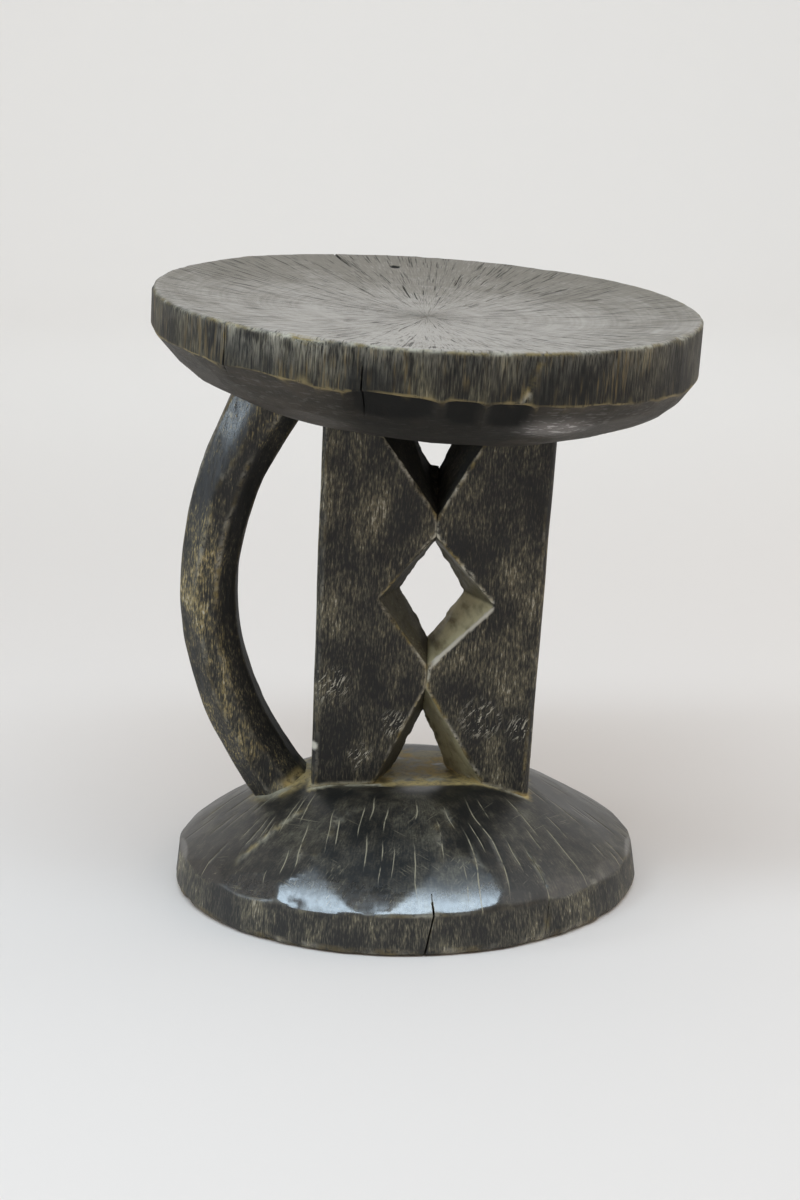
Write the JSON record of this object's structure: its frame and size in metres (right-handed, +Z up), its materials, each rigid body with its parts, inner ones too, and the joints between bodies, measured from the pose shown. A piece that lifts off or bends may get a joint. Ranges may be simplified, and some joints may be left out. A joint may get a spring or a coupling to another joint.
{
  "type": "carved log stool",
  "caption": "Low carved wooden stool with a dished round seat, a pillar pierced by a diamond window, a bowed side handle and a domed round foot.",
  "frame": {"origin": "centre of the foot's flat underside, on the floor", "axes": "+Z up, +X towards the side away from the handle, -Y towards the viewer of the picture"},
  "size_m": [0.3006, 0.3007, 0.3423],
  "materials": {
    "seat_wood": "worn satin end grain, dark patina on the rim",
    "pillar_wood": "dark satin patina with pale grain flecks",
    "handle_wood": "dark hand-polished patina over adze facets",
    "base_wood": "dark satin patina with dusty drying checks"
  },
  "bodies": {
    "root": {"seat": "seat_wood", "left_upright": "pillar_wood", "right_upright": "pillar_wood", "handle": "handle_wood", "base": "base_wood"}
  },
  "joints": []
}
